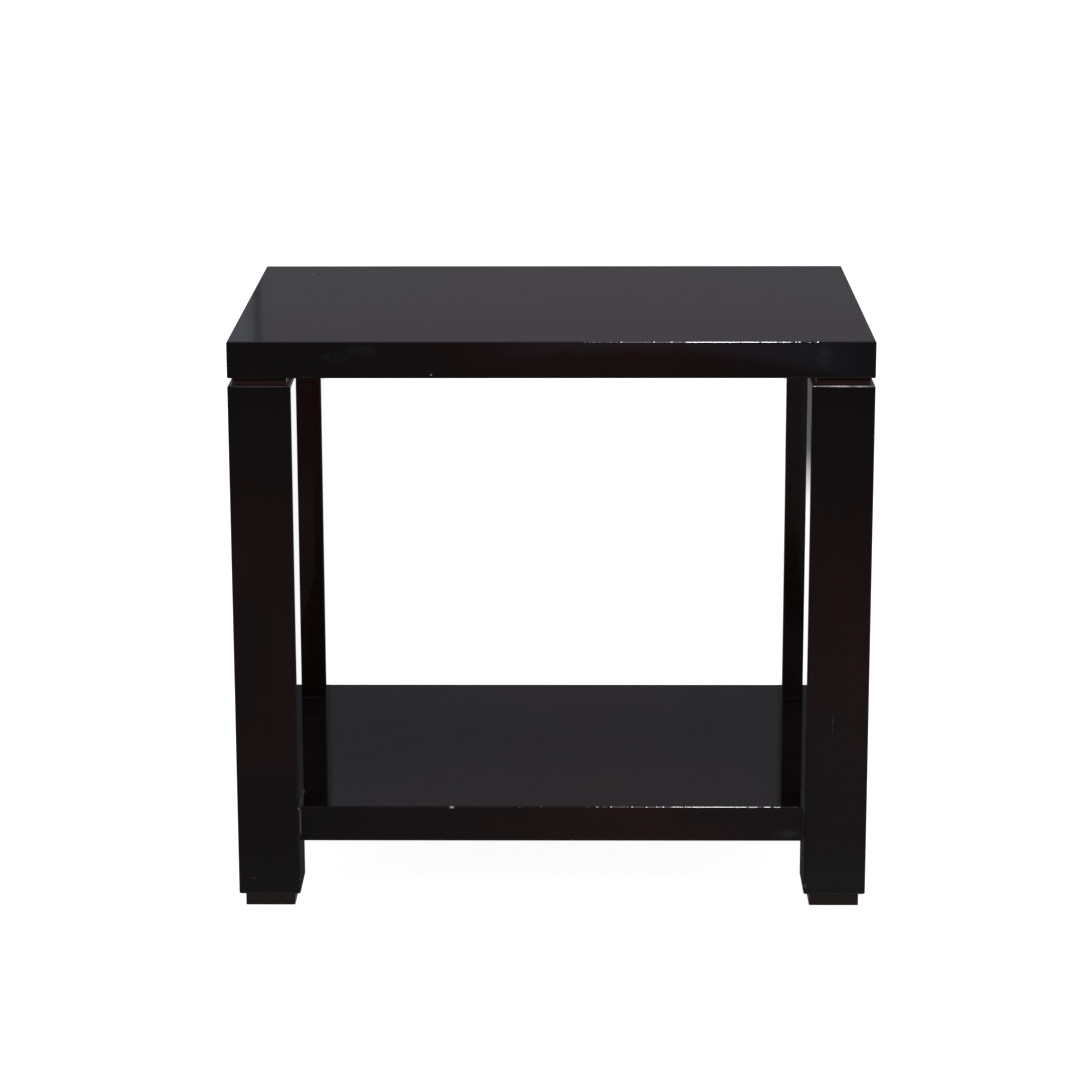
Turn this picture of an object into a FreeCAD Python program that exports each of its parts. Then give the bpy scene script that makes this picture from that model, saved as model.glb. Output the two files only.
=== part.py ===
import FreeCAD, Part
import os
import Sketcher

# An end table with a lower shelf: two thick lipped boards on four square legs.
# Small necks hold the top clear of the legs, and small blocks hold the legs clear of the floor.
# Millimetres. The origin is on the floor under the middle of the table.
# +X is to the right of someone facing the front, +Y runs from the front to the back, +Z is up.

SIZES = {
    "table_width": 610,
    "table_depth": 440,
    "table_height": 560,
    "board_thickness": 35,
    "lipping_width": 10,
    "board_arris": 1.5,
    "leg_size": 60,
    "leg_arris": 2,
    "reveal_height": 7,
    "foot_height": 13,
    "neck_inset": 4.5,
    "foot_inset": 6,
    "block_arris": 1,
    "shelf_height": 100,
    "shelf_setback": 8,
    "top_dowel_diameter": 10,
    "top_dowel_length": 50,
    "top_dowel_offset": 11,
    "shelf_dowel_diameter": 8,
    "shelf_dowel_length": 40,
    "shelf_dowel_spacing": 22,
    "dowel_bevel": 1,
    "glue_depth": 1,
    "screw_length": 30,
    "screw_core": 3,
    "screw_head": 8,
    "screw_tip": 4,
    "screw_tip_angle": 18,
    "screw_recess": 0.5,
    "screw_hole": 4.5,
    "slot_length": 4,
    "slot_width": 1,
    "slot_depth": 1.2,
    "countersink_angle": 90,
}

# Each corner of the table, as signs along X and Y.
CORNERS = {
    "front_left": (-1, -1),
    "front_right": (1, -1),
    "back_left": (-1, 1),
    "back_right": (1, 1),
}

# Each edge of a board: its direction outwards as signs along X and Y, and the turn that brings -Y there.
EDGES = {
    "front": (0, -1, 0),
    "right": (1, 0, 90),
    "back": (0, 1, 180),
    "left": (-1, 0, -90),
}

# Sizes worked out from the driving ones.
TOP_UNDERSIDE = "(sizes.table_height - sizes.board_thickness)"
LEG_TOP = f"({TOP_UNDERSIDE} - sizes.reveal_height)"
LEG_LENGTH = f"({LEG_TOP} - sizes.foot_height)"
LEG_X = "((sizes.table_width - sizes.leg_size) / 2)"
LEG_Y = "((sizes.table_depth - sizes.leg_size) / 2)"
NECK_SIZE = "(sizes.leg_size - 2 * sizes.neck_inset)"
FOOT_SIZE = "(sizes.leg_size - 2 * sizes.foot_inset)"
CORE_X = "(sizes.table_width / 2 - sizes.lipping_width)"
CORE_Y = "(sizes.table_depth / 2 - sizes.lipping_width)"
SHELF_UNDERSIDE = "(sizes.shelf_height - sizes.board_thickness)"
SHELF_MIDDLE = "(sizes.shelf_height - sizes.board_thickness / 2)"
SHELF_EDGE_X = "(sizes.table_width / 2 - sizes.shelf_setback)"
SHELF_EDGE_Y = "(sizes.table_depth / 2 - sizes.shelf_setback)"
SHELF_CORE_X = f"({SHELF_EDGE_X} - sizes.lipping_width)"
SHELF_CORE_Y = f"({SHELF_EDGE_Y} - sizes.lipping_width)"
BETWEEN_LEGS_X = "(sizes.table_width / 2 - sizes.leg_size)"
BETWEEN_LEGS_Y = "(sizes.table_depth / 2 - sizes.leg_size)"
TOP_DOWEL_DEPTH = "((sizes.top_dowel_length - sizes.reveal_height) / 2 + sizes.glue_depth)"
SHELF_DOWEL_DEPTH = "(sizes.shelf_dowel_length / 2 + sizes.glue_depth)"
SCREW_HEAD_HEIGHT = "((sizes.screw_head - sizes.screw_core) / 2)"
SCREW_PILOT_DEPTH = "(sizes.screw_recess + sizes.screw_length - sizes.foot_height + sizes.glue_depth)"

# The middle of a leg, a neck or a foot in its own sketches.
LEG_MIDDLE = ("0", "0")

TOLERANCE = 1e-6

doc = FreeCAD.newDocument("end_table")
sheet = doc.addObject("Spreadsheet::Sheet", "sizes")


def fill_sheet():
    for row, (name, value) in enumerate(SIZES.items(), start=1):
        sheet.set(f"A{row}", name)
        sheet.set(f"B{row}", str(value))
        sheet.setAlias(f"B{row}", name)
    doc.recompute()


# Sketches and features

def new_body(name):
    body = doc.addObject("PartDesign::Body", name)
    body.Label = name
    return body


def place(piece, x, y, z, turn=0):
    """Stand a piece at expressions x, y and z, turned about Z by a number of degrees."""
    piece.Placement.Rotation = FreeCAD.Rotation(FreeCAD.Vector(0, 0, 1), turn)
    for axis, expression in zip("xyz", (x, y, z)):
        piece.setExpression(f"Placement.Base.{axis}", expression)


def sketch_on(body, role, offset="0"):
    """A sketch on one of the body's own planes, moved along that plane's normal."""
    sketch = body.newObject("Sketcher::SketchObject", "profile")
    plane = next(item for item in body.Origin.OriginFeatures if item.Role == role)
    sketch.AttachmentSupport = [(plane, "")]
    sketch.MapMode = "FlatFace"
    sketch.setExpression("AttachmentOffset.Base.z", offset)
    return sketch


def point_at(x, y):
    return FreeCAD.Vector(float(sheet.evalExpression(x)), float(sheet.evalExpression(y)), 0)


def bind(sketch, constraint, expression):
    index = sketch.addConstraint(constraint)
    sketch.setExpression(f"Constraints[{index}]", expression)


def outline(sketch, corners):
    """A closed outline of straight lines through corners given as pairs of expressions."""
    points = [point_at(x, y) for x, y in corners]
    lines = [sketch.addGeometry(Part.LineSegment(start, end))
             for start, end in zip(points, points[1:] + points[:1])]
    for line, following in zip(lines, lines[1:] + lines[:1]):
        sketch.addConstraint(Sketcher.Constraint("Coincident", line, 2, following, 1))
    for line, point, (x, y) in zip(lines, points, corners):
        bind(sketch, Sketcher.Constraint("DistanceX", -1, 1, line, 1, point.x), x)
        bind(sketch, Sketcher.Constraint("DistanceY", -1, 1, line, 1, point.y), y)


def rectangle(sketch, width, depth, centre=("0", "0")):
    x, y = centre
    outline(sketch, [(f"{x} + {across} * {width} / 2", f"{y} + {along} * {depth} / 2")
                     for across, along in ((-1, -1), (1, -1), (1, 1), (-1, 1))])


def circles(sketch, centres, diameter):
    radius = float(sheet.evalExpression(diameter)) / 2
    for x, y in centres:
        middle = point_at(x, y)
        circle = sketch.addGeometry(Part.Circle(middle, FreeCAD.Vector(0, 0, 1), radius))
        bind(sketch, Sketcher.Constraint("DistanceX", -1, 1, circle, 3, middle.x), x)
        bind(sketch, Sketcher.Constraint("DistanceY", -1, 1, circle, 3, middle.y), y)
        bind(sketch, Sketcher.Constraint("Diameter", circle, 2 * radius), diameter)


def pad(body, sketch, length, taper="0"):
    feature = body.newObject("PartDesign::Pad", "pad")
    feature.Profile = sketch
    feature.setExpression("Length", length)
    feature.setExpression("TaperAngle", taper)
    doc.recompute()
    return feature


def pocket(body, sketch, depth, along_normal=False):
    """Cut a sketch into the body, against its normal unless along_normal is set."""
    volume_before = body.Shape.Volume
    feature = body.newObject("PartDesign::Pocket", "pocket")
    feature.Profile = sketch
    feature.Reversed = along_normal
    feature.setExpression("Length", depth)
    doc.recompute()
    if body.Shape.Volume > volume_before - TOLERANCE:
        raise RuntimeError(f"a pocket in {body.Label} cuts nothing")


def edge_names(feature, wanted):
    return [f"Edge{number}" for number, edge in enumerate(feature.Shape.Edges, start=1) if wanted(edge)]


def every_edge(edge):
    return True


def is_rim(edge):
    return isinstance(edge.Curve, Part.Circle)


def ease(body, feature, radius, wanted=every_edge):
    """Round over the wanted edges of the body's last feature."""
    rounded = body.newObject("PartDesign::Fillet", "eased_edges")
    rounded.Base = (feature, edge_names(feature, wanted))
    rounded.setExpression("Radius", radius)
    doc.recompute()


def bevel_rims(body, feature, size):
    bevel = body.newObject("PartDesign::Chamfer", "bevelled_ends")
    bevel.Base = (feature, edge_names(feature, is_rim))
    bevel.setExpression("Size", size)
    doc.recompute()


# Where the dowels and screws stand

def diagonal_pair(side, end, offset, middle=LEG_MIDDLE):
    """Two points on the diagonal of a leg that runs through the middle of the table."""
    x, y = middle
    return [(f"{x} + {sign * side} * {offset}", f"{y} + {sign * end} * {offset}") for sign in (-1, 1)]


def shelf_dowel_steps(end):
    """How far each shelf dowel is from the middle of its leg, along Y, beside the lipping."""
    middle = "(sizes.shelf_setback + sizes.lipping_width) / 2"
    return [f"{-end} * ({middle} + {sign} * sizes.shelf_dowel_spacing / 2)" for sign in (-1, 1)]


def at_every_leg(offset):
    return [centre for side, end in CORNERS.values()
            for centre in diagonal_pair(side, end, offset, (f"{side} * {LEG_X}", f"{end} * {LEG_Y}"))]


# The top: a core board inside four mitred lippings, all eased together after gluing

def make_top_board():
    body = new_body("top_board")
    plan = sketch_on(body, "XY_Plane")
    rectangle(plan, f"(2 * {CORE_X})", f"(2 * {CORE_Y})")
    pad(body, plan, "sizes.board_thickness")
    holes = sketch_on(body, "XY_Plane")
    circles(holes, at_every_leg("sizes.top_dowel_offset"), "sizes.top_dowel_diameter")
    pocket(body, holes, TOP_DOWEL_DEPTH, along_normal=True)
    place(body, "0", "0", TOP_UNDERSIDE)
    return body


def make_eased_top():
    """The whole outside of the top, from which the lippings are cut."""
    block = doc.addObject("Part::Box", "top_outside")
    block.setExpression("Length", "sizes.table_width")
    block.setExpression("Width", "sizes.table_depth")
    block.setExpression("Height", "sizes.board_thickness")
    place(block, "-sizes.table_width / 2", "-sizes.table_depth / 2", "0")
    doc.recompute()
    eased = doc.addObject("Part::Fillet", "top_eased")
    eased.Base = block
    radius = float(sheet.board_arris)
    eased.Edges = [(number, radius, radius) for number in range(1, len(block.Shape.Edges) + 1)]
    return eased


def make_mitred_strip(edge, length):
    """A strip along one edge of the top, with both ends cut at 45 degrees."""
    across, along, turn = EDGES[edge]
    strip = doc.addObject("Part::Wedge", f"mitred_strip_{edge}")
    bounds = {
        "Xmin": f"-{length} / 2",
        "Xmax": f"{length} / 2",
        "X2min": f"-{length} / 2 + sizes.lipping_width",
        "X2max": f"{length} / 2 - sizes.lipping_width",
        "Ymin": "0",
        "Ymax": "sizes.lipping_width",
        "Zmin": "0",
        "Zmax": "sizes.board_thickness",
        "Z2min": "0",
        "Z2max": "sizes.board_thickness",
    }
    for name, expression in bounds.items():
        strip.setExpression(name, expression)
    place(strip, f"{across} * sizes.table_width / 2", f"{along} * sizes.table_depth / 2", "0", turn)
    return strip


def make_top_lipping(edge, eased_top):
    length = "sizes.table_depth" if edge in ("left", "right") else "sizes.table_width"
    lipping = doc.addObject("Part::Common", f"top_lipping_{edge}")
    lipping.Base = eased_top
    lipping.Tool = make_mitred_strip(edge, length)
    place(lipping, "0", "0", TOP_UNDERSIDE)
    doc.recompute()
    return lipping


# The shelf: a core board notched round the legs, with a lipping between each pair of legs

def make_shelf_board():
    body = new_body("shelf_board")
    plan = sketch_on(body, "XY_Plane")
    quarter = [
        (BETWEEN_LEGS_X, SHELF_CORE_Y),
        (BETWEEN_LEGS_X, BETWEEN_LEGS_Y),
        (SHELF_CORE_X, BETWEEN_LEGS_Y),
    ]
    corners = []
    for side, end in ((1, 1), (1, -1), (-1, -1), (-1, 1)):
        run = [(f"{side} * {x}", f"{end} * {y}") for x, y in quarter]
        corners += run if side * end > 0 else run[::-1]
    outline(plan, corners)
    pad(body, plan, "sizes.board_thickness")
    for side in (-1, 1):
        holes = sketch_on(body, "YZ_Plane", f"{side} * {BETWEEN_LEGS_X}")
        circles(holes, shelf_dowel_centres("sizes.board_thickness / 2"), "sizes.shelf_dowel_diameter")
        pocket(body, holes, SHELF_DOWEL_DEPTH, along_normal=side < 0)
    place(body, "0", "0", SHELF_UNDERSIDE)
    return body


def shelf_dowel_centres(height):
    """The shelf dowels of one side of the table, seen along X: front and back legs."""
    return [(f"{end} * {LEG_Y} + {step}", height) for end in (-1, 1) for step in shelf_dowel_steps(end)]


def make_shelf_lipping(edge):
    across, along, turn = EDGES[edge]
    length = f"(2 * {BETWEEN_LEGS_Y})" if across else f"(2 * {BETWEEN_LEGS_X})"
    body = new_body(f"shelf_lipping_{edge}")
    plan = sketch_on(body, "XY_Plane")
    rectangle(plan, length, "sizes.lipping_width", ("0", "sizes.lipping_width / 2"))
    strip = pad(body, plan, "sizes.board_thickness")

    def is_outer_arris(candidate):
        box = candidate.BoundBox
        return box.XLength > TOLERANCE and box.YMax < TOLERANCE

    ease(body, strip, "sizes.board_arris", is_outer_arris)
    place(body, f"{across} * {SHELF_EDGE_X}", f"{along} * {SHELF_EDGE_Y}", SHELF_UNDERSIDE, turn)
    return body


# The four corner stacks: foot block, leg and neck

def make_leg(corner):
    side, end = CORNERS[corner]
    body = new_body(f"leg_{corner}")
    section = sketch_on(body, "XY_Plane")
    rectangle(section, "sizes.leg_size", "sizes.leg_size")
    post = pad(body, section, LEG_LENGTH)
    ease(body, post, "sizes.leg_arris")

    top_holes = sketch_on(body, "XY_Plane", LEG_LENGTH)
    circles(top_holes, diagonal_pair(side, end, "sizes.top_dowel_offset"), "sizes.top_dowel_diameter")
    pocket(body, top_holes, TOP_DOWEL_DEPTH)

    # The shelf meets the face that looks along X to the middle of the table.
    shelf_holes = sketch_on(body, "YZ_Plane", f"{-side} * sizes.leg_size / 2")
    height = f"{SHELF_MIDDLE} - sizes.foot_height"
    circles(shelf_holes, [(step, height) for step in shelf_dowel_steps(end)], "sizes.shelf_dowel_diameter")
    pocket(body, shelf_holes, SHELF_DOWEL_DEPTH, along_normal=side > 0)

    pilot_hole = sketch_on(body, "XY_Plane")
    circles(pilot_hole, [LEG_MIDDLE], "sizes.screw_core")
    pocket(body, pilot_hole, SCREW_PILOT_DEPTH, along_normal=True)
    place(body, f"{side} * {LEG_X}", f"{end} * {LEG_Y}", "sizes.foot_height")
    return body


def make_block(name, corner, size, height):
    """A square block, set in from the faces of its leg, with its upright edges eased."""
    body = new_body(f"{name}_{corner}")
    plan = sketch_on(body, "XY_Plane")
    rectangle(plan, size, size)
    block = pad(body, plan, height)
    ease(body, block, "sizes.block_arris", lambda edge: edge.BoundBox.ZLength > TOLERANCE)
    return body


def make_neck(corner):
    side, end = CORNERS[corner]
    body = make_block("neck_block", corner, NECK_SIZE, "sizes.reveal_height")
    holes = sketch_on(body, "XY_Plane")
    circles(holes, diagonal_pair(side, end, "sizes.top_dowel_offset"), "sizes.top_dowel_diameter")
    pocket(body, holes, "sizes.reveal_height", along_normal=True)
    place(body, f"{side} * {LEG_X}", f"{end} * {LEG_Y}", LEG_TOP)
    return body


def make_foot(corner):
    side, end = CORNERS[corner]
    body = make_block("foot_block", corner, FOOT_SIZE, "sizes.foot_height")
    volume_before = body.Shape.Volume
    centre = sketch_on(body, "XY_Plane")
    circles(centre, [LEG_MIDDLE], "sizes.screw_hole")
    doc.recompute()
    hole = body.newObject("PartDesign::Hole", "countersunk_hole")
    hole.Profile = centre
    hole.Reversed = True
    hole.DepthType = "ThroughAll"
    hole.HoleCutType = "Countersink"
    hole.HoleCutCustomValues = True
    hole.setExpression("Diameter", "sizes.screw_hole")
    hole.setExpression("HoleCutDiameter", "sizes.screw_head + 2 * sizes.screw_recess")
    hole.setExpression("HoleCutCountersinkAngle", "sizes.countersink_angle")
    doc.recompute()
    if body.Shape.Volume > volume_before - TOLERANCE:
        raise RuntimeError(f"the hole in {body.Label} cuts nothing")
    place(body, f"{side} * {LEG_X}", f"{end} * {LEG_Y}", "0")
    return body


# Dowels and screws, each kind one group of separate solids

def make_top_dowels():
    body = new_body("top_dowels")
    ends = sketch_on(body, "XY_Plane")
    circles(ends, at_every_leg("sizes.top_dowel_offset"), "sizes.top_dowel_diameter")
    rods = pad(body, ends, "sizes.top_dowel_length")
    bevel_rims(body, rods, "sizes.dowel_bevel")
    place(body, "0", "0", f"{LEG_TOP} + (sizes.reveal_height - sizes.top_dowel_length) / 2")
    return body


def make_shelf_dowels():
    body = new_body("shelf_dowels")
    for side in (-1, 1):
        ends = sketch_on(body, "YZ_Plane", f"{side} * {BETWEEN_LEGS_X} - sizes.shelf_dowel_length / 2")
        circles(ends, shelf_dowel_centres("0"), "sizes.shelf_dowel_diameter")
        rods = pad(body, ends, "sizes.shelf_dowel_length")
    bevel_rims(body, rods, "sizes.dowel_bevel")
    place(body, "0", "0", SHELF_MIDDLE)
    return body


def make_foot_screws():
    """Countersunk wood screws, points up, with plain shanks at the core of the thread."""
    body = new_body("foot_screws")
    centres = [(f"{side} * {LEG_X}", f"{end} * {LEG_Y}") for side, end in CORNERS.values()]
    heads = sketch_on(body, "XY_Plane")
    circles(heads, centres, "sizes.screw_head")
    pad(body, heads, SCREW_HEAD_HEIGHT, "-sizes.countersink_angle / 2")
    shanks = sketch_on(body, "XY_Plane")
    circles(shanks, centres, "sizes.screw_core")
    pad(body, shanks, "sizes.screw_length - sizes.screw_tip")
    tips = sketch_on(body, "XY_Plane", "sizes.screw_length - sizes.screw_tip")
    circles(tips, centres, "sizes.screw_core")
    pad(body, tips, "sizes.screw_tip", "-sizes.screw_tip_angle")
    cross_slot = ("sizes.slot_length", "sizes.slot_width")
    for width, depth in (cross_slot, cross_slot[::-1]):
        slots = sketch_on(body, "XY_Plane")
        for centre in centres:
            rectangle(slots, width, depth, centre)
        pocket(body, slots, "sizes.slot_depth", along_normal=True)
    place(body, "0", "0", "sizes.screw_recess")
    return body


# The whole table

def make_table():
    pieces = [make_top_board()]
    eased_top = make_eased_top()
    pieces += [make_top_lipping(edge, eased_top) for edge in EDGES]
    pieces.append(make_shelf_board())
    pieces += [make_shelf_lipping(edge) for edge in EDGES]
    for make_piece in (make_leg, make_neck, make_foot):
        pieces += [make_piece(corner) for corner in CORNERS]
    pieces += [make_top_dowels(), make_shelf_dowels(), make_foot_screws()]
    doc.recompute()
    return pieces


def check_table(pieces):
    for item in doc.Objects:
        if "Invalid" in item.State or "Error" in item.State:
            raise RuntimeError(f"{item.Label} failed: {item.State}")
    for piece in pieces:
        if piece.Shape.isNull() or not piece.Shape.isValid():
            raise RuntimeError(f"{piece.Label} has no valid shape")


def write_table(pieces):
    os.makedirs("parts", exist_ok=True)
    for piece in pieces:
        piece.Shape.exportStep(f"parts/{piece.Label}.step")
        print(f"{piece.Label}: {len(piece.Shape.Solids)} solids, {piece.Shape.Volume / 1000:.1f} cm3")


fill_sheet()
table_pieces = make_table()
check_table(table_pieces)
write_table(table_pieces)
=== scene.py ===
import math

import bpy
from mathutils import Matrix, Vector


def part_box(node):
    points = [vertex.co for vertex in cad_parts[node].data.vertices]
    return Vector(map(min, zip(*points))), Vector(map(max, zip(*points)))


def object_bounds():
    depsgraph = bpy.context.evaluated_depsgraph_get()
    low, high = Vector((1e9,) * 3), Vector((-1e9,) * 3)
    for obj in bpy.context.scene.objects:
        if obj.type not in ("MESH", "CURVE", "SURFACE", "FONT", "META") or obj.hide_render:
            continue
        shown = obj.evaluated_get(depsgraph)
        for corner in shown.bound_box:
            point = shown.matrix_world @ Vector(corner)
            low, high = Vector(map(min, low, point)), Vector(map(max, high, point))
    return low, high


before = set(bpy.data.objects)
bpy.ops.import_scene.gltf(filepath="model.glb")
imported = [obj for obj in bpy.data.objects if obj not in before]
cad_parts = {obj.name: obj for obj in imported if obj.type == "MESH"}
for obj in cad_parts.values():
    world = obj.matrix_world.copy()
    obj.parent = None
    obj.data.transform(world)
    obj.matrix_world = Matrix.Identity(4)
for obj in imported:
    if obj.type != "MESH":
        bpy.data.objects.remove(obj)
cad_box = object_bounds()

# Metres and degrees. The frame is the table's own: the origin is on the floor under the middle of it,
# +X to the right of someone facing the front, +Y to the back, +Z up.
# A pair of limits says where a mask is 0 and where it is 1. A size is how far across a cloud of noise is.

CORNERS = ("front_left", "front_right", "back_left", "back_right")

# Places on the table, from the frame
LEG_LOW, LEG_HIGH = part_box("leg_front_right")
SHELF_LOW, SHELF_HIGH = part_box("shelf_board")
NECK_LOW, NECK_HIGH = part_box("neck_block_front_right")
FOOT_TOP_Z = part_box("foot_block_front_right")[1].z
LEG_INNER_X = LEG_LOW.x
LEG_INNER_Y = -LEG_HIGH.y
SHELF_FRONT_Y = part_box("shelf_lipping_front")[0].y
FRONT_Y = cad_box[0].y
TOP_Z = cad_box[1].z

# The camera, from a fit of the table's edges in the photograph
CAMERA_PLACE = (0.02159, -3.37855, 1.14837)
CAMERA_PITCH = 13.8625
CAMERA_YAW = 0.5874
CAMERA_ROLL = -0.1304
LENS_MM = 114.14
SENSOR_MM = 36

# The floor and the lights
WHITE = (1, 1, 1)
FLOOR_SIDE = 60
FLOOR_Z = -0.0002
FLOOR_COLOURS = ((0.56, 0.56, 0.56), (0.53, 0.53, 0.53))
FLOOR_FLECK_SIZE = 0.02
FLOOR_ROUGHNESS = 0.9
FLOOR_GLOW = 0.94
SKYLIGHT_Z = 5
SKYLIGHT_STRENGTH = 1.55
SKYLIGHT_SPREAD = 150
SOFTBOX_Y = -0.6
SOFTBOX_Z = 2.6
SOFTBOX_DEPTH = 0.96
KEY_SOFTBOX = {"x": 0.2695, "width": 0.157, "watts": 41}
FILL_SOFTBOX = {"x": 0.130, "width": 0.12, "watts": 3.4}

# What the lacquer mirrors, as colours at heights in degrees above the horizon
LOWEST_DEGREES = -30
HIGHEST_DEGREES = 70
BEHIND_THE_TABLE = (
    (-30, (0.02, 0.02, 0.02)),
    (-18, (0.028, 0.027, 0.029)),
    (-17, (0.110, 0.107, 0.112)),
    (-10, (0.115, 0.112, 0.118)),
    (-4, (0.19, 0.18, 0.20)),
    (9, (0.138, 0.138, 0.149)),
    (10.6, (0.144, 0.136, 0.157)),
    (16.3, (0.092, 0.094, 0.102)),
    (17.5, (0.084, 0.085, 0.092)),
    (17.7, (0.106, 0.103, 0.113)),
    (18.6, (0.116, 0.110, 0.122)),
    (24, (0.060, 0.058, 0.064)),
    (38, (0.09, 0.09, 0.095)),
    (68, (0.34, 0.34, 0.35)),
)
BEFORE_THE_TABLE = (
    (-24, (0.19, 0.18, 0.19)),
    (-19.4, (0.150, 0.147, 0.154)),
    (-18.8, (0.108, 0.105, 0.112)),
    (-17.5, (0.108, 0.106, 0.111)),
    (-14.2, (0.066, 0.065, 0.068)),
    (-12.8, (0.052, 0.052, 0.054)),
    (-10, (0.050, 0.050, 0.053)),
    (8, (0.10, 0.095, 0.105)),
    (24, (0.05, 0.05, 0.055)),
    (38, (0.09, 0.09, 0.095)),
    (68, (0.34, 0.34, 0.35)),
)
BEFORE_TO_BEHIND = (-0.2, 0.8)

# The pale sweep behind the table, seen low down in the sides of the legs: higher at the right of a step,
# and open in the middle
SWEEP_COLOUR = (1.5, 1.5, 1.5)
SWEEP_TOP_LEFT = -12.8
SWEEP_TOP_RIGHT = -9
SWEEP_TOP_BLUR = 0.6
SWEEP_STEP = -3.8
SWEEP_STEP_BLUR = 0.15
SWEEP_GAP = 3.2
SWEEP_GAP_BLUR = 0.2
SWEEP_BOTTOM = -17
SWEEP_BOTTOM_BLUR = 0.5

# The bright screen at the left, with a dark edge, that shows in the left end of the top
SCREEN_COLOUR = (0.162, 0.176, 0.200)
SCREEN_EDGE_COLOUR = (0.078, 0.077, 0.088)
SCREEN_EDGE = -5.36
SCREEN_EDGE_WIDTH = 0.08
SCREEN_BLUR = 0.25
SCREEN_BOTTOM = (2, 6)
SCREEN_TOP = (16, 13)

# How much brighter the room before the table is than its colours: on its floor, more to the right
FRONT_BRIGHTNESS = 1.05
FRONT_DIMMEST = 0.8
FRONT_BRIGHTEST = 1.3
FRONT_FLOOR_SLOPE = 0.04
FRONT_FLOOR_HEIGHTS = (-14, -17)

# The lit wall that shows along the front of the top, above a low dark hump
WALL_COLOUR = (0.145, 0.165, 0.218)
WALL_FOOT = -10.67
WALL_FOOT_BLUR = 0.05
HUMP_MIDDLE = 1.0
HUMP_CURVE = 0.034
WALL_TOP = (4, 0)
WALL_LEFT = -0.9
WALL_LEFT_BLUR = 1.3
WALL_RIGHT = 4.6
WALL_RIGHT_BLUR = 0.3
WALL_SHADED = 0.35

# Pale panels at both sides of the room, and the floor below them, palest towards the back
BESIDE_THE_TABLE = (0.3, 0.6)
PANEL_COLOUR = (0.50, 0.50, 0.52)
PANEL_BOTTOM = (2, 8)
PANEL_TOP = (45, 8)
SIDE_FLOOR_COLOUR = (0.60, 0.60, 0.61)
SIDE_FLOOR_HEIGHTS = (-16, -34)
SIDE_FLOOR_BACKWARDS = (-0.9, 0.9)

# Rounded edges, by how squarely a face looks along an axis, and faces that look up, by how far they do
EDGE_LIMITS = (0.995, 0.93)
LEVEL_LIMITS = (0.3, 0.9)
UPPER_EDGE_LIMITS = (0.1, 0.4)

# Stain under the lacquer: where the red shows most along the grain, and how far from there it reaches
GRAIN_STRETCH = 0.06
DARK_STAIN = (0.0038, 0.0032, 0.0033)
RED_STAIN = (0.0125, 0.0036, 0.0034)
FIGURE_SIZE = 0.011
FIGURE_SHARE = 1.1
CLOUD_SIZE = 0.11
CLOUD_SHARE = 1.5
BOARD_STAIN = {"grain": "X", "middle": 0.04, "half_length": 0.26}
END_STAIN = {"grain": "Y", "middle": 0, "half_length": 0.22}
# On the front legs the red fades out under the top and near the floor, partly as painted shade.
LEG_STAIN_AND_SHADE = {"grain": "Z", "middle": 0.28, "half_length": 0.24}
BACK_LEG_STAIN = {"grain": "Z", "middle": 0.33, "half_length": 0.5}

# Lacquer: its gloss, and how far it is from flat
LACQUER_IOR = 1.5
GLOSS = 0.014
WIPE_SIZE = 0.006
WIPE_DULLNESS = 0.016
RIPPLE_SIZE = 0.075
RIPPLE_HEIGHT = 0.00004
PEEL_SIZE = 0.004
PEEL_HEIGHT = 0.0000016
DENT_SIZE = 0.011
DENT_HEIGHT = 0.00015
NIB_SPACING = 0.0065
NIB_RADIUS = 0.0022
NIB_HEIGHT = 0.00006

# Dust and wear on the lacquer: how much of their colour shows, and how dull they make it
DUST_AND_PAINTED_LIGHT = (0.10, 0.10, 0.105)
FILM_SIZE = 0.035
FILM_SHARE = 0.07
FILM_DULLNESS = 0.05
SPECK_SPACING = 0.020
SPECK_RADIUS = 0.0009
SPECK_SHARE = 0.5
SPECK_DULLNESS = 0.3
BARE_WOOD = (0.055, 0.028, 0.020)
WEAR_SIZE = 0.007
WEAR_LIMITS = (0.68, 0.76)
WEAR_DULLNESS = 0.25
CRACK_WIDTH = 0.0014
CRACK_BREAK_SIZE = 0.012
CRACK_BREAK_LIMITS = (0.3, 0.5)
CRACK_FADE = 0.1
CRACK_ELSEWHERE = 0.2
CRACK_DULLNESS = 0.4

# Marks that the photograph shows: place, radii, colour, share of the colour and dullness
PALE = (0.50, 0.47, 0.44)
HAZE = (0.020, 0.021, 0.026)
RAGGED_LIMITS = (0.25, 0.55)
BOARD_MARKS = {
    "shelf chip": ((-0.097, SHELF_FRONT_Y, SHELF_HIGH.z - 0.0004), (0.0032, 0.003, 0.0022), PALE, 1, 0.4),
    "front speck": ((-0.1128, FRONT_Y, 0.5285), (0.0012, 0.002, 0.0010), PALE, 0.6, 0.4),
    "back speck": ((-0.252, 0.168, TOP_Z), (0.0015, 0.006, 0.002), PALE, 0.35, 0.4),
    "left smear": ((-0.203, FRONT_Y, 0.546), (0.020, 0.02, 0.007), HAZE, 0.16, 0.08),
    "second smear": ((-0.178, FRONT_Y, 0.552), (0.022, 0.02, 0.007), HAZE, 0.20, 0.08),
    "right smear": ((0.257, FRONT_Y, 0.545), (0.009, 0.01, 0.015), HAZE, 0.5, 0.12),
    "shelf smear": ((0.230, SHELF_FRONT_Y, 0.0725), (0.020, 0.01, 0.006), HAZE, 0.4, 0.10),
}
LEG_TOP_LINE = (0.060, 0.0026, 0.0016)
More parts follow.
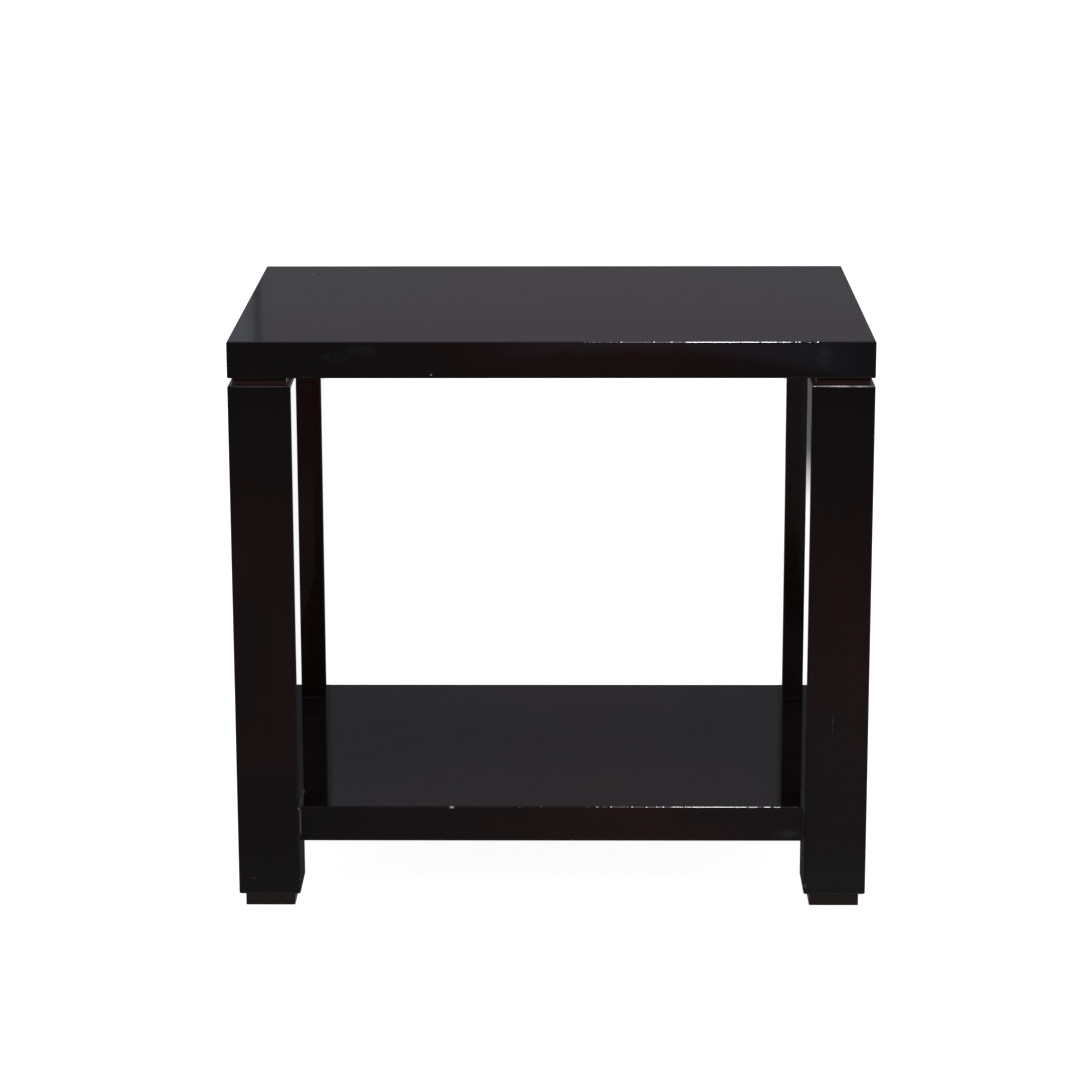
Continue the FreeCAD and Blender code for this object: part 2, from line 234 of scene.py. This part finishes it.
LEG_MARKS = {
    # The top lines on the front legs are partly a pale edge and partly a painted highlight, bright on the
    # right leg and faint on the left.
    "right top line": ((0.292, FRONT_Y + 0.0010, LEG_HIGH.z - 0.0004), LEG_TOP_LINE, PALE, 0.80, 0.2),
    "left top line": ((-0.275, FRONT_Y + 0.0010, LEG_HIGH.z - 0.0004), LEG_TOP_LINE, PALE, 0.045, 0.2),
    "scratch": ((0.2707, FRONT_Y, 0.1855), (0.0010, 0.003, 0.0125), PALE, 0.06, 0.2),
    "right nick": ((0.2465, FRONT_Y, 0.022), (0.0020, 0.003, 0.0030), PALE, 0.08, 0.2),
    "left nick": ((-0.2903, FRONT_Y, 0.0295), (0.0045, 0.003, 0.0016), PALE, 0.03, 0.2),
}
BACK_LEG_REACH = (0.08, 0.08, 0.5)
# The grey on the back legs is painted light, a lift that stands in for glare over their dark faces,
# stronger on the right leg.
BACK_LEG_MARKS = {
    "left painted light": ((-0.275, LEG_INNER_Y, 0.35), BACK_LEG_REACH, DUST_AND_PAINTED_LIGHT, 0.025, 0),
    "right painted light": ((0.275, LEG_INNER_Y, 0.35), BACK_LEG_REACH, DUST_AND_PAINTED_LIGHT, 0.075, 0),
}

# Satin stain on the necks and the feet, fading from dark at one level to pale at another
# On the necks the fade is painted shade: dark under the top board, and pale low down as painted light off
# the ledge of the leg.
NECK_STAIN_AND_SHADE = {
    "dark": (0.005, 0.0015, 0.0013),
    "dark_z": NECK_HIGH.z - 0.001,
    "pale": (0.043, 0.0165, 0.0165),
    "pale_z": NECK_LOW.z,
    "roughness": 0.35,
}
FOOT_STAIN = {
    "dark": (0.0102, 0.0074, 0.0067),
    "dark_z": -FOOT_TOP_Z,
    "pale": (0.0179, 0.0133, 0.0120),
    "pale_z": FOOT_TOP_Z,
    "roughness": 0.30,
}
SATIN_FIGURE_SIZE = 0.004
SATIN_FIGURE_SHARE = 0.5
SATIN_FIGURE_HEIGHT = 0.00001
SATIN_MOTTLE_SIZE = 0.01
SATIN_MOTTLE_DULLNESS = 0.15
SATIN_SPECULAR = 0.12
SCUFF_SIZE = 0.005
SCUFF_LIMITS = (0.5, 0.65)
SCUFF_SHARE = 0.5

# Bare beech on the dowels
BEECH_COLOURS = ((0.62, 0.44, 0.28), (0.48, 0.30, 0.17))
BEECH_FIGURE_SIZE = 0.002
BEECH_FIGURE_HEIGHT = 0.00004
FLECK_COLOUR = (0.28, 0.15, 0.08)
FLECK_SIZE = 0.0008
FLECK_LIMITS = (0.55, 0.7)
FLECK_SHARE = 0.5
BEECH_ROUGHNESS = 0.7

# Zinc plate on the screws
ZINC_COLOURS = ((0.62, 0.60, 0.54), (0.42, 0.36, 0.24))
ZINC_STAIN_SIZE = 0.003
ZINC_STAIN_LIMITS = (0.4, 0.7)
ZINC_CRYSTAL_SIZE = 0.0006
ZINC_ROUGHNESS = 0.2
ZINC_CRYSTAL_ROUGHNESS = 0.25


# Node trees

class Graph:
    """One node tree. Each call adds a node, and its inputs are numbers, colours or other nodes' outputs."""

    def __init__(self, tree):
        self.tree = tree
        tree.nodes.clear()

    def add(self, kind, inputs=(), **settings):
        node = self.tree.nodes.new("ShaderNode" + kind)
        for name, value in settings.items():
            setattr(node, name, value)
        for key, value in dict(inputs).items():
            self.put(node.inputs[key], value)
        return node

    def put(self, socket, value):
        if isinstance(value, bpy.types.NodeSocket):
            self.tree.links.new(value, socket)
        elif socket.type == "RGBA":
            socket.default_value = (*value, 1)
        else:
            socket.default_value = value

    def math(self, operation, *values, clamp=False):
        return self.add("Math", enumerate(values), operation=operation, use_clamp=clamp).outputs[0]

    def sum(self, *values):
        total = values[0]
        for value in values[1:]:
            total = self.math("ADD", total, value)
        return total

    def product(self, *values):
        total = values[0]
        for value in values[1:]:
            total = self.math("MULTIPLY", total, value)
        return total

    def most(self, *values):
        best = values[0]
        for value in values[1:]:
            best = self.math("MAXIMUM", best, value)
        return best

    def smooth(self, value, low, high):
        """0 at low and 1 at high, eased between them and held outside them."""
        limits = {"Value": value, "From Min": low, "From Max": high}
        return self.add("MapRange", limits, interpolation_type="SMOOTHSTEP").outputs["Result"]

    def above(self, value, edge, blur):
        """0 below an edge and 1 above it, eased over a blur to both sides of it."""
        return self.smooth(value, edge - blur, edge + blur)

    def below(self, value, edge, blur):
        """1 below an edge and 0 above it, eased over a blur to both sides of it."""
        return self.smooth(value, edge + blur, edge - blur)

    def near(self, value, target, width):
        """1 where a value is at a target, easing to 0 where it is width away."""
        return self.smooth(self.math("ABSOLUTE", self.math("SUBTRACT", value, target)), width, width / 2)

    def mix(self, factor, first, second):
        return self.add("Mix", {0: factor, 6: first, 7: second}, data_type="RGBA").outputs[2]

    def split(self, vector):
        return self.add("SeparateXYZ", {0: vector}).outputs

    def vector(self, operation, first, second):
        return self.add("VectorMath", {0: first, 1: second}, operation=operation).outputs[0]

    def noise(self, place, size, detail=2.0, roughness=0.5):
        """Cloudy noise from 0 to 1, with clouds about size metres across."""
        inputs = {"Vector": place, "Scale": 1 / size, "Detail": detail, "Roughness": roughness}
        return self.add("TexNoise", inputs).outputs[0]

    def dots(self, place, spacing, radius):
        """Soft round dots, scattered through the solid about a spacing apart."""
        cells = self.add("TexVoronoi", {"Vector": place, "Scale": 1 / spacing})
        return self.smooth(cells.outputs["Distance"], radius / spacing, 0)

    def spot(self, place, centre, radii, core=0.3):
        """1 in the core of an oval, easing to 0 at its rim."""
        offset = self.vector("SUBTRACT", place, centre)
        scaled = self.vector("DIVIDE", offset, radii)
        reach = self.add("VectorMath", {0: scaled}, operation="LENGTH").outputs["Value"]
        return self.smooth(reach, 1, core)

    def ramp(self, degrees, stops):
        """The colour at an angle, from stops that give angles and colours in rising order."""
        limits = {"Value": degrees, "From Min": LOWEST_DEGREES, "From Max": HIGHEST_DEGREES}
        share = self.add("MapRange", limits).outputs["Result"]
        node = self.add("ValToRGB", {"Fac": share})
        elements = node.color_ramp.elements
        while len(elements) < len(stops):
            elements.new(1)
        for element, (angle, colour) in zip(elements, stops):
            element.position = (angle - LOWEST_DEGREES) / (HIGHEST_DEGREES - LOWEST_DEGREES)
            element.color = (*colour, 1)
        return node.outputs["Color"]

    def bump(self, height):
        return self.add("Bump", {"Height": height, "Distance": 1}).outputs[0]


def new_material(name):
    material = bpy.data.materials.new(name)
    material.use_nodes = True
    return material, Graph(material.node_tree)


def finish_material(graph, sockets):
    shader = graph.add("BsdfPrincipled", sockets)
    output = graph.add("OutputMaterial")
    graph.put(output.inputs["Surface"], shader.outputs[0])


# The room: floor, studio, lights and camera

def make_floor():
    bpy.ops.mesh.primitive_plane_add(size=FLOOR_SIDE, location=(0, 0, FLOOR_Z))
    floor = bpy.context.object
    floor.name = "floor"
    material, graph = new_material("floor_paper")
    place = graph.add("TexCoord").outputs["Object"]
    finish_material(graph, {
        "Base Color": graph.mix(graph.noise(place, FLOOR_FLECK_SIZE, detail=6), *FLOOR_COLOURS),
        "Roughness": FLOOR_ROUGHNESS,
        "Specular IOR Level": 0,
        "Emission Color": WHITE,
        "Emission Strength": FLOOR_GLOW,
    })
    floor.data.materials.append(material)
    # The lacquer mirrors the studio round the floor, not the floor's own glare.
    floor.visible_glossy = False


def studio_behind(graph, height, turn):
    """The screen and the sweep behind the table, by height and by turn to the right of straight back."""
    colour = graph.ramp(height, BEHIND_THE_TABLE)
    high_up = graph.product(graph.smooth(height, *SCREEN_BOTTOM), graph.smooth(height, *SCREEN_TOP))
    screen = graph.product(graph.smooth(turn, SCREEN_EDGE, SCREEN_EDGE - SCREEN_BLUR), high_up)
    colour = graph.mix(screen, colour, SCREEN_COLOUR)
    edge = graph.product(graph.near(turn, SCREEN_EDGE, SCREEN_EDGE_WIDTH), high_up)
    colour = graph.mix(edge, colour, SCREEN_EDGE_COLOUR)
    right_of_step = graph.above(turn, SWEEP_STEP, SWEEP_STEP_BLUR)
    sweep_top = graph.math("MULTIPLY_ADD", right_of_step, SWEEP_TOP_RIGHT - SWEEP_TOP_LEFT, SWEEP_TOP_LEFT)
    over_sweep = graph.math("SUBTRACT", height, sweep_top)
    sweep = graph.product(graph.below(over_sweep, 0, SWEEP_TOP_BLUR),
                          graph.above(height, SWEEP_BOTTOM, SWEEP_BOTTOM_BLUR),
                          graph.above(graph.math("ABSOLUTE", turn), SWEEP_GAP, SWEEP_GAP_BLUR))
    return graph.mix(sweep, colour, SWEEP_COLOUR)


def studio_before(graph, height, turn):
    """The dim room before the table, with its lit wall, by height and by turn to the right."""
    colour = graph.ramp(height, BEFORE_THE_TABLE)
    slope = graph.product(graph.smooth(height, *FRONT_FLOOR_HEIGHTS), FRONT_FLOOR_SLOPE)
    brighter = graph.math("MULTIPLY_ADD", turn, slope, FRONT_BRIGHTNESS)
    brighter = graph.math("MAXIMUM", brighter, FRONT_DIMMEST)
    brighter = graph.math("MINIMUM", brighter, FRONT_BRIGHTEST)
    colour = graph.add("VectorMath", {0: colour, "Scale": brighter}, operation="SCALE").outputs[0]
    from_middle = graph.math("SUBTRACT", turn, HUMP_MIDDLE)
    drop = graph.product(from_middle, from_middle, HUMP_CURVE)
    over_foot = graph.math("SUBTRACT", graph.sum(height, drop), WALL_FOOT)
    lit = graph.below(turn, WALL_RIGHT, WALL_RIGHT_BLUR)
    wall = graph.product(graph.above(over_foot, 0, WALL_FOOT_BLUR),
                         graph.smooth(height, *WALL_TOP),
                         graph.above(turn, WALL_LEFT, WALL_LEFT_BLUR),
                         graph.math("MULTIPLY_ADD", lit, 1 - WALL_SHADED, WALL_SHADED))
    return graph.mix(wall, colour, WALL_COLOUR)


def make_studio():
    """The grey studio that the lacquer mirrors, white where the camera looks straight past the floor."""
    world = bpy.data.worlds.new("studio")
    bpy.context.scene.world = world
    world.use_nodes = True
    graph = Graph(world.node_tree)
    x, y, z = graph.split(graph.add("TexCoord").outputs["Generated"])
    height = graph.math("DEGREES", graph.math("ARCSINE", z))
    turn_behind = graph.math("DEGREES", graph.math("ARCTAN2", x, y))
    turn_before = graph.math("DEGREES", graph.math("ARCTAN2", x, graph.math("MULTIPLY", y, -1)))
    flat_length = graph.math("SQRT", graph.math("SUBTRACT", 1, graph.product(z, z)))
    backwards = graph.math("DIVIDE", y, flat_length)
    sideways = graph.math("ABSOLUTE", graph.math("DIVIDE", x, flat_length))
    colour = graph.mix(graph.smooth(backwards, *BEFORE_TO_BEHIND),
                       studio_before(graph, height, turn_before),
                       studio_behind(graph, height, turn_behind))
    beside = graph.smooth(sideways, *BESIDE_THE_TABLE)
    panel = graph.product(beside, graph.smooth(height, *PANEL_BOTTOM), graph.smooth(height, *PANEL_TOP))
    colour = graph.mix(panel, colour, PANEL_COLOUR)
    side_floor = graph.product(beside, graph.smooth(height, *SIDE_FLOOR_HEIGHTS),
                               graph.smooth(backwards, *SIDE_FLOOR_BACKWARDS))
    colour = graph.mix(side_floor, colour, SIDE_FLOOR_COLOUR)
    colour = graph.mix(graph.add("LightPath").outputs["Is Camera Ray"], colour, WHITE)
    background = graph.add("Background", {"Color": colour})
    output = graph.add("OutputWorld")
    graph.put(output.inputs["Surface"], background.outputs[0])


def hang_light(name, data, x, y, z):
    """Hang a light at a place. Lights shine straight down unless they are turned."""
    light = bpy.data.objects.new(name, data)
    light.location = (x, y, z)
    bpy.context.scene.collection.objects.link(light)
    return light


def make_softbox(name, x, width, watts):
    """A soft light above the front that only makes the bright lines along the rounded edges."""
    softbox = bpy.data.lights.new(name, "AREA")
    softbox.shape = "RECTANGLE"
    softbox.size = width
    softbox.size_y = SOFTBOX_DEPTH
    softbox.energy = watts
    hang_light(name, softbox, x, SOFTBOX_Y, SOFTBOX_Z).visible_diffuse = False


def make_lights():
    skylight = bpy.data.lights.new("skylight", "SUN")
    skylight.energy = SKYLIGHT_STRENGTH
    skylight.angle = math.radians(SKYLIGHT_SPREAD)
    hang_light("skylight", skylight, 0, 0, SKYLIGHT_Z).visible_glossy = False
    make_softbox("key_softbox", **KEY_SOFTBOX)
    make_softbox("fill_softbox", **FILL_SOFTBOX)


def make_camera():
    camera = bpy.data.cameras.new("camera")
    camera.sensor_fit = "HORIZONTAL"
    camera.sensor_width = SENSOR_MM
    camera.lens = LENS_MM
    holder = bpy.data.objects.new("camera", camera)
    yaw = Matrix.Rotation(math.radians(CAMERA_YAW), 4, "Z")
    pitch = Matrix.Rotation(math.radians(90 - CAMERA_PITCH), 4, "X")
    roll = Matrix.Rotation(math.radians(CAMERA_ROLL), 4, "Z")
    holder.matrix_world = Matrix.Translation(CAMERA_PLACE) @ yaw @ pitch @ roll
    bpy.context.scene.collection.objects.link(holder)
    bpy.context.scene.camera = holder


# Materials

def surface(graph):
    """The place on the table, how far the face looks up, and 1 on the rounded edges."""
    place = graph.add("TexCoord").outputs["Object"]
    normal = graph.split(graph.add("NewGeometry").outputs["Normal"])
    straightest = graph.most(*(graph.math("ABSOLUTE", part) for part in normal))
    return place, normal["Z"], graph.smooth(straightest, *EDGE_LIMITS)


def along_grain(graph, place, grain):
    """The place squeezed along the grain, so that noise read there runs with it."""
    return graph.vector("MULTIPLY", place, [GRAIN_STRETCH if axis == grain else 1 for axis in "XYZ"])


def stain(graph, place, grain, middle, half_length):
    """Espresso stain that lets red wood through in streaks, most where the stain lies thinnest, mid-length.
    On the front legs the dark ends are partly painted shade, under the top and near the floor.
    """
    reach = graph.math("DIVIDE", graph.math("SUBTRACT", graph.split(place)[grain], middle), half_length)
    thin_and_lit = graph.math("SUBTRACT", 1, graph.product(reach, reach), clamp=True)
    figure = graph.noise(along_grain(graph, place, grain), FIGURE_SIZE, detail=5, roughness=0.6)
    cloud = graph.math("MULTIPLY_ADD", graph.noise(place, CLOUD_SIZE), CLOUD_SHARE, -CLOUD_SHARE / 2)
    streaks = graph.math("MULTIPLY_ADD", figure, FIGURE_SHARE, cloud)
    red = graph.math("MULTIPLY", graph.product(thin_and_lit, thin_and_lit), streaks, clamp=True)
    return graph.mix(red, DARK_STAIN, RED_STAIN)


def joint_lines(graph, place):
    """1 along the pale cracked lines where the shelf meets the legs, most at the front left one."""
    x, y, z = graph.split(place)
    across = graph.math("ABSOLUTE", x)
    deep = graph.math("ABSOLUTE", y)
    beside = graph.near(across, LEG_INNER_X, CRACK_WIDTH)
    level = graph.near(z, SHELF_HIGH.z, CRACK_WIDTH)
    on_top = graph.product(beside, level, graph.smooth(deep, LEG_INNER_Y - CRACK_WIDTH, LEG_INNER_Y))
    inside = graph.product(graph.near(deep, LEG_INNER_Y, CRACK_WIDTH), level,
                           graph.smooth(across, LEG_INNER_X - CRACK_WIDTH, LEG_INNER_X))
    down = graph.product(beside, graph.near(deep, -SHELF_FRONT_Y, CRACK_WIDTH),
                         graph.smooth(z, SHELF_LOW.z - CRACK_WIDTH, SHELF_LOW.z),
                         graph.smooth(z, SHELF_HIGH.z + CRACK_WIDTH, SHELF_HIGH.z))
    broken = graph.smooth(graph.noise(place, CRACK_BREAK_SIZE), *CRACK_BREAK_LIMITS)
    front_left = graph.product(graph.below(x, 0, CRACK_FADE), graph.below(y, 0, CRACK_FADE))
    strength = graph.math("MULTIPLY_ADD", front_left, 1 - CRACK_ELSEWHERE, CRACK_ELSEWHERE)
    return graph.product(graph.most(on_top, inside, down), broken, strength)


def cover(graph, look, mask, tint, share, dullness):
    """A look, as colour and roughness, with a share of a tint and some dullness where a mask is."""
    colour, roughness = look
    colour = graph.mix(graph.product(mask, share), colour, tint)
    return colour, graph.sum(roughness, graph.product(mask, dullness))


def cover_with_dust_and_wear(graph, look, place, upwards, arris):
    level = graph.smooth(upwards, *LEVEL_LIMITS)
    film = graph.product(graph.noise(place, FILM_SIZE, detail=4), level)
    look = cover(graph, look, film, DUST_AND_PAINTED_LIGHT, FILM_SHARE, FILM_DULLNESS)
    specks = graph.product(graph.dots(place, SPECK_SPACING, SPECK_RADIUS), level)
    look = cover(graph, look, specks, DUST_AND_PAINTED_LIGHT, SPECK_SHARE, SPECK_DULLNESS)
    worn = graph.product(arris, graph.smooth(graph.noise(place, WEAR_SIZE, detail=3), *WEAR_LIMITS))
    look = cover(graph, look, worn, BARE_WOOD, 1, WEAR_DULLNESS)
    return cover(graph, look, joint_lines(graph, place), DUST_AND_PAINTED_LIGHT, 1, CRACK_DULLNESS)


def cover_with_marks(graph, look, place, marks):
    """Ragged spots at the places of the marks."""
    for centre, radii, tint, share, dullness in marks.values():
        ragged = graph.smooth(graph.noise(place, max(radii) / 2, detail=3), *RAGGED_LIMITS)
        mark = graph.product(graph.spot(place, centre, radii), ragged)
        look = cover(graph, look, mark, tint, share, dullness)
    return look


def lacquer_bump(graph, place, upwards, arris):
    """A faint ripple and peel all over, and dents and nibs on the rounded edges that look up."""
    ripple = graph.product(graph.noise(place, RIPPLE_SIZE, detail=1), RIPPLE_HEIGHT)
    peel = graph.product(graph.noise(place, PEEL_SIZE, detail=1), PEEL_HEIGHT)
    dents = graph.product(graph.noise(place, DENT_SIZE), DENT_HEIGHT)
    nibs = graph.product(graph.dots(place, NIB_SPACING, NIB_RADIUS), NIB_HEIGHT)
    upper_edge = graph.product(arris, graph.smooth(upwards, *UPPER_EDGE_LIMITS))
    return graph.bump(graph.sum(ripple, peel, graph.product(graph.sum(dents, nibs), upper_edge)))


def make_lacquer(name, marks, grain, middle, half_length):
    """Gloss lacquer over stain, with dust, wear on the edges and marks at their places."""
    material, graph = new_material(name)
    place, upwards, arris = surface(graph)
    wiped = graph.noise(along_grain(graph, place, grain), WIPE_SIZE, detail=3)
    roughness = graph.sum(GLOSS, graph.product(wiped, WIPE_DULLNESS))
    look = (stain(graph, place, grain, middle, half_length), roughness)
    look = cover_with_dust_and_wear(graph, look, place, upwards, arris)
    colour, roughness = cover_with_marks(graph, look, place, marks)
    finish_material(graph, {
        "Base Color": colour,
        "Roughness": roughness,
        "IOR": LACQUER_IOR,
        "Normal": lacquer_bump(graph, place, upwards, arris),
    })
    return material


def make_satin(name, dark, dark_z, pale, pale_z, roughness):
    """Stained wood with little lacquer on it, for the necks and the feet, darker towards one level. On the
    necks that fade is painted shade under the top board and painted light low down.
    """
    material, graph = new_material(name)
    place, _, arris = surface(graph)
    figure = graph.noise(along_grain(graph, place, "X"), SATIN_FIGURE_SIZE, detail=4)
    streaks = graph.math("MULTIPLY_ADD", figure, SATIN_FIGURE_SHARE, -SATIN_FIGURE_SHARE / 2)
    # On the necks this fade is painted shade under the top and painted light next to the leg.
    fade = graph.smooth(graph.split(place)["Z"], dark_z, pale_z)
    colour = graph.mix(graph.math("ADD", fade, streaks, clamp=True), dark, pale)
    scuffs = graph.product(arris, graph.smooth(graph.noise(place, SCUFF_SIZE), *SCUFF_LIMITS))
    colour = graph.mix(graph.product(scuffs, SCUFF_SHARE), colour, BARE_WOOD)
    mottle = graph.noise(place, SATIN_MOTTLE_SIZE)
    finish_material(graph, {
        "Base Color": colour,
        "Roughness": graph.math("MULTIPLY_ADD", mottle, SATIN_MOTTLE_DULLNESS, roughness),
        "Specular IOR Level": SATIN_SPECULAR,
        "Normal": graph.bump(graph.product(figure, SATIN_FIGURE_HEIGHT)),
    })
    return material


def make_beech():
    material, graph = new_material("bare_beech")
    along = along_grain(graph, graph.add("TexCoord").outputs["Object"], "Z")
    figure = graph.noise(along, BEECH_FIGURE_SIZE, detail=3)
    flecks = graph.smooth(graph.noise(along, FLECK_SIZE), *FLECK_LIMITS)
    colour = graph.mix(figure, *BEECH_COLOURS)
    finish_material(graph, {
        "Base Color": graph.mix(graph.product(flecks, FLECK_SHARE), colour, FLECK_COLOUR),
        "Roughness": BEECH_ROUGHNESS,
        "Normal": graph.bump(graph.product(figure, BEECH_FIGURE_HEIGHT)),
    })
    return material


def make_zinc():
    material, graph = new_material("zinc_plate")
    place = graph.add("TexCoord").outputs["Object"]
    stains = graph.smooth(graph.noise(place, ZINC_STAIN_SIZE, detail=4), *ZINC_STAIN_LIMITS)
    crystals = graph.noise(place, ZINC_CRYSTAL_SIZE)
    finish_material(graph, {
        "Base Color": graph.mix(stains, *ZINC_COLOURS),
        "Roughness": graph.math("MULTIPLY_ADD", crystals, ZINC_CRYSTAL_ROUGHNESS, ZINC_ROUGHNESS),
        "Metallic": 1,
    })
    return material


# The dressed table

def dress(node, material):
    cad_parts[node].material_slots[0].material = material


def dress_boards():
    boards = make_lacquer("lacquer_along_x", BOARD_MARKS, **BOARD_STAIN)
    ends = make_lacquer("lacquer_along_y", {}, **END_STAIN)
    for board in ("top", "shelf"):
        dress(f"{board}_board", boards)
        for edge in ("front", "back"):
            dress(f"{board}_lipping_{edge}", boards)
        for edge in ("left", "right"):
            dress(f"{board}_lipping_{edge}", ends)


def dress_corners():
    front_legs = make_lacquer("lacquer_along_z", LEG_MARKS, **LEG_STAIN_AND_SHADE)
    back_legs = make_lacquer("lacquer_back_legs", BACK_LEG_MARKS, **BACK_LEG_STAIN)
    necks = make_satin("neck_stain", **NECK_STAIN_AND_SHADE)
    feet = make_satin("foot_stain", **FOOT_STAIN)
    for corner in CORNERS:
        dress(f"leg_{corner}", front_legs if corner.startswith("front") else back_legs)
        dress(f"neck_block_{corner}", necks)
        dress(f"foot_block_{corner}", feet)


def dress_fixings():
    beech = make_beech()
    dress("top_dowels", beech)
    dress("shelf_dowels", beech)
    dress("foot_screws", make_zinc())


make_floor()
make_studio()
make_lights()
make_camera()
dress_boards()
dress_corners()
dress_fixings()

bpy.context.scene.view_settings.view_transform = "Standard"
